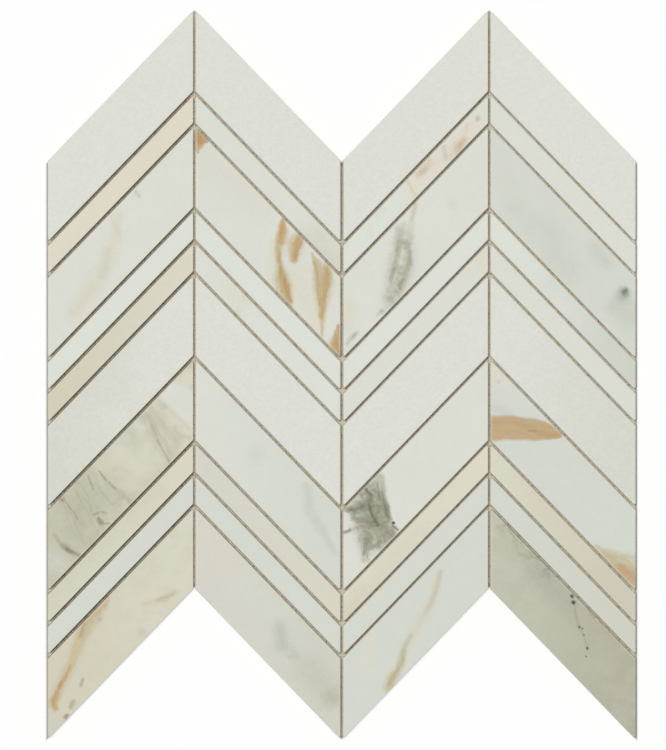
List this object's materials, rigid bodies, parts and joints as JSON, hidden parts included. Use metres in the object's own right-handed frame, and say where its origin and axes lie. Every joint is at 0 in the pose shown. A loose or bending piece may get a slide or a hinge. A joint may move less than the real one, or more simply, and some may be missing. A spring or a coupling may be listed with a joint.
{
  "type": "chevron mosaic wall tile",
  "caption": "Sheet of chevron mosaic wall tile: wide and narrow veined marble strips laid in zigzag rows with open joints, held by a glass-fibre mesh on their backs.",
  "frame": {"origin": "under the middle of the sheet, on the plane that the backing mesh rests on", "axes": "+X across the sheet, +Y up its height towards the edge with one notch, +Z out of the polished face"},
  "size_m": [0.291, 0.3586, 0.0104],
  "materials": {
    "sugary_white_marble": "satin",
    "cool_white_marble": "satin",
    "cream_marble": "satin",
    "veined_marble": "satin",
    "glass_fibre_yarn": "matte"
  },
  "bodies": {
    "root": {"column_1_row_01_wide": "sugary_white_marble", "column_1_row_02_narrow": "cream_marble", "column_1_row_03_wide": "veined_marble", "column_1_row_04_narrow": "cool_white_marble", "column_1_row_05_narrow": "cream_marble", "column_1_row_06_wide": "sugary_white_marble", "column_1_row_07_wide": "veined_marble", "column_1_row_08_narrow": "cream_marble", "column_1_row_09_narrow": "cool_white_marble", "column_1_row_10_wide": "veined_marble", "column_2_row_01_wide": "sugary_white_marble", "column_2_row_02_narrow": "veined_marble", "column_2_row_03_wide": "veined_marble", "column_2_row_04_narrow": "cool_white_marble", "column_2_row_05_narrow": "veined_marble", "column_2_row_06_wide": "sugary_white_marble", "column_2_row_07_wide": "veined_marble", "column_2_row_08_narrow": "veined_marble", "column_2_row_09_narrow": "cool_white_marble", "column_2_row_10_wide": "veined_marble", "column_3_row_01_wide": "sugary_white_marble", "column_3_row_02_narrow": "veined_marble", "column_3_row_03_wide": "veined_marble", "column_3_row_04_narrow": "cool_white_marble", "column_3_row_05_narrow": "cream_marble", "column_3_row_06_wide": "sugary_white_marble", "column_3_row_07_wide": "veined_marble", "column_3_row_08_narrow": "cream_marble", "column_3_row_09_narrow": "cool_white_marble", "column_3_row_10_wide": "veined_marble", "column_4_row_01_wide": "sugary_white_marble", "column_4_row_02_narrow": "veined_marble", "column_4_row_03_wide": "veined_marble", "column_4_row_04_narrow": "cool_white_marble", "column_4_row_05_narrow": "veined_marble", "column_4_row_06_wide": "sugary_white_marble", "column_4_row_07_wide": "veined_marble", "column_4_row_08_narrow": "veined_marble", "column_4_row_09_narrow": "cool_white_marble", "column_4_row_10_wide": "veined_marble", "mesh_warp_yarns": "glass_fibre_yarn", "mesh_weft_yarns": "glass_fibre_yarn"}
  },
  "joints": []
}
